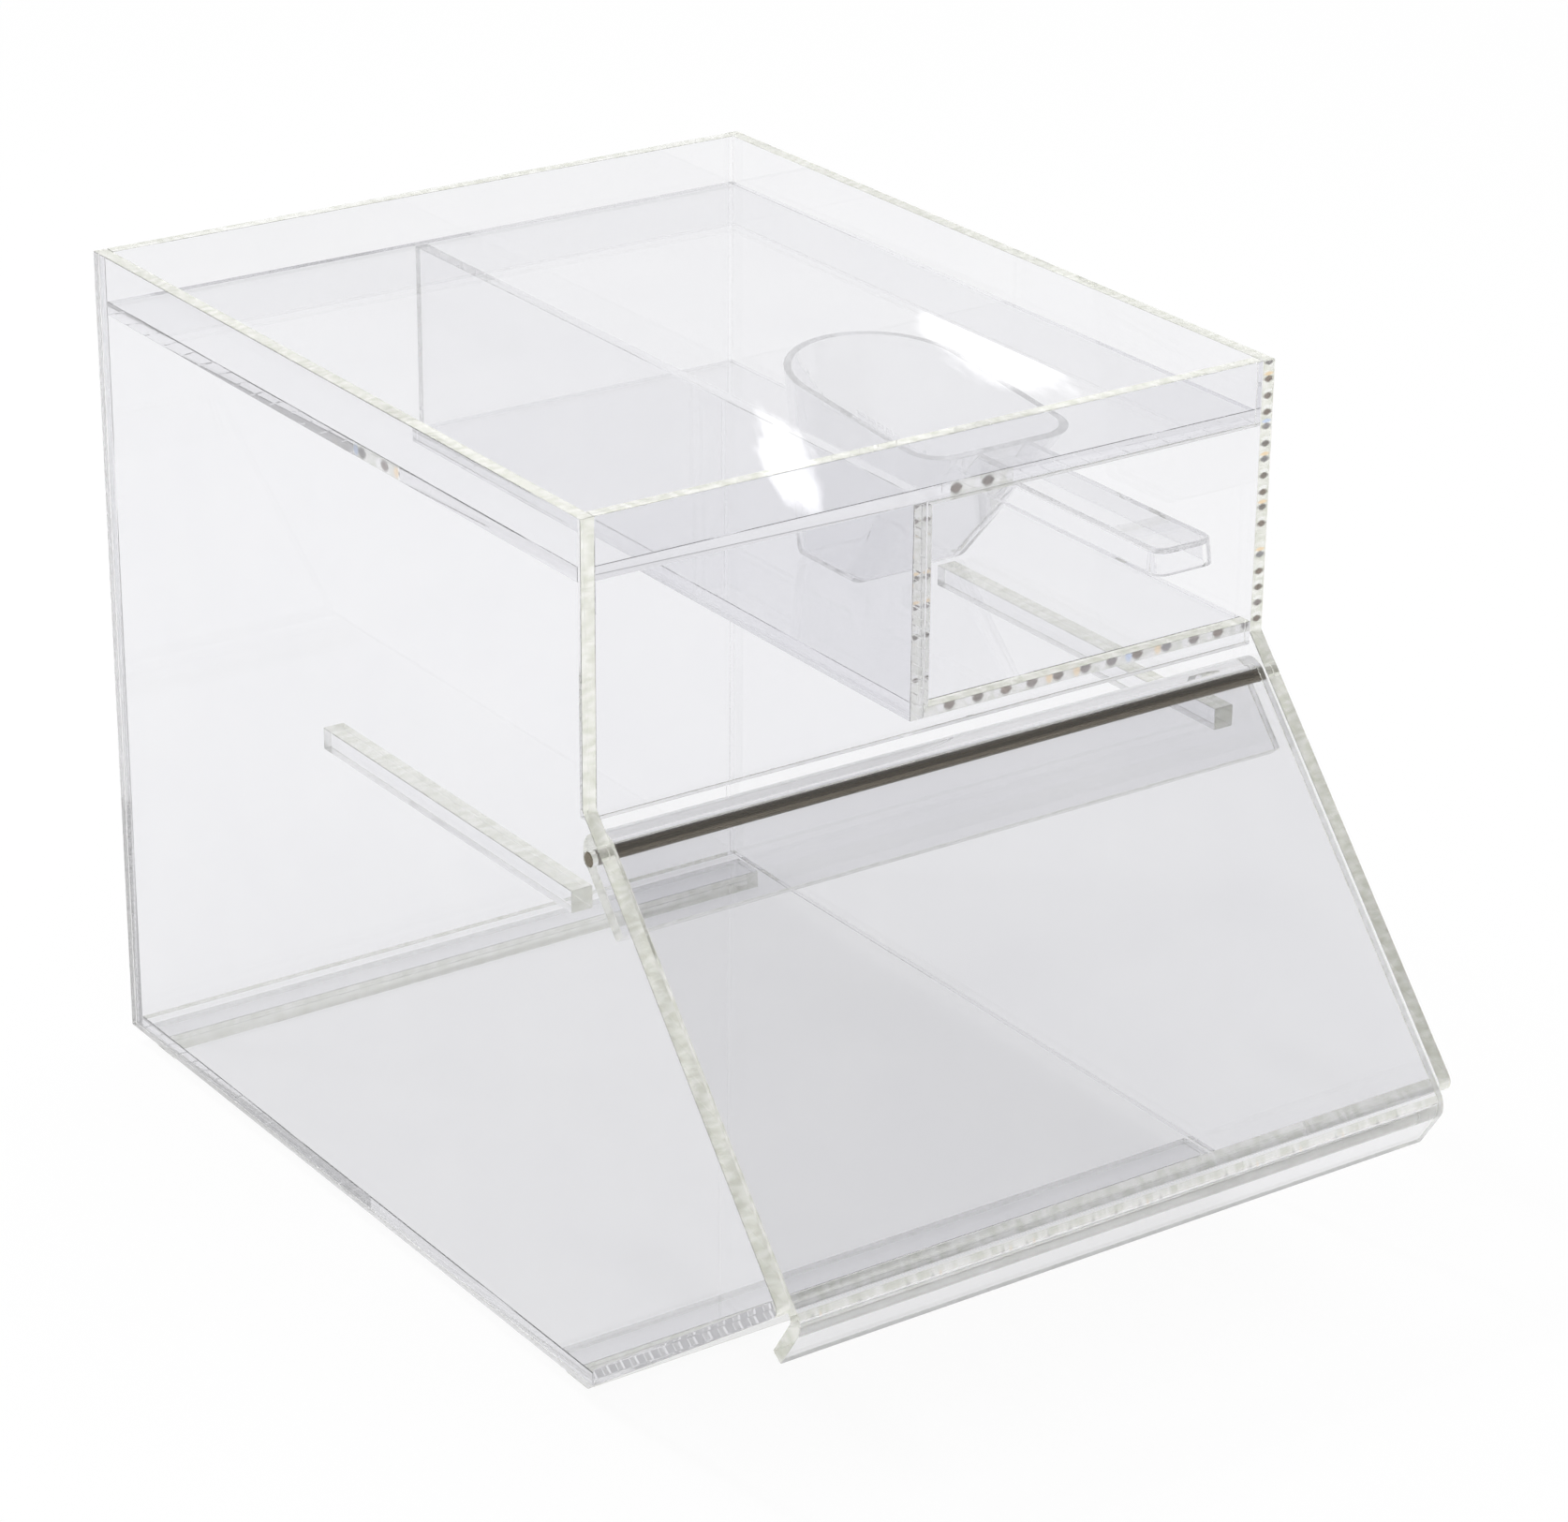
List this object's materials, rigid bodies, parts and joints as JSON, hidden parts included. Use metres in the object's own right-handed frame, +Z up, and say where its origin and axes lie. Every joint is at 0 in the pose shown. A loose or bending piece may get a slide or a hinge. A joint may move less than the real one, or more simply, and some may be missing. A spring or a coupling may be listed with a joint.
{
  "type": "candy bin",
  "caption": "Clear acrylic bulk candy bin with a slanted front chute, a hook-over hinged lid, a scoop compartment under the top and a clear scoop.",
  "frame": {"origin": "centre of the bounding box, at the underside of the foot bars", "axes": "+Z up, +Y from the lid towards the back panel, +X towards the scoop compartment"},
  "size_m": [0.24, 0.3779, 0.273],
  "materials": {
    "clear_acrylic_sheet": "polished clear cast sheet with sawn edges",
    "clear_acrylic_lid": "polished clear cast sheet, heat bent",
    "steel_rod": "drawn rod",
    "clear_scoop": "clear moulded plastic"
  },
  "bodies": {
    "bin": {"left_side_panel": "clear_acrylic_sheet", "right_side_panel": "clear_acrylic_sheet", "back_panel": "clear_acrylic_sheet", "front_panel": "clear_acrylic_sheet", "top_plate": "clear_acrylic_sheet", "divider_panel": "clear_acrylic_sheet", "compartment_floor": "clear_acrylic_sheet", "base_plate": "clear_acrylic_sheet", "chin_plate": "clear_acrylic_sheet", "front_foot_bar": "clear_acrylic_sheet", "rear_foot_bar": "clear_acrylic_sheet", "left_rail": "clear_acrylic_sheet", "right_rail": "clear_acrylic_sheet", "hinge_rod": "steel_rod"},
    "lid": {"lid": "clear_acrylic_lid"},
    "scoop": {"scoop": "clear_scoop"}
  },
  "joints": [
    {"name": "lid_hinge", "type": "hinge", "parent": "bin", "child": "lid", "pos_m": [0, -0.09367, 0.17444], "axis": [-1, 0, 0], "range_deg": [0, 96]},
    {"name": "scoop_slide", "type": "slide", "parent": "bin", "child": "scoop", "axis": [0, 1, 0], "range_m": [0, 0.135]}
  ]
}
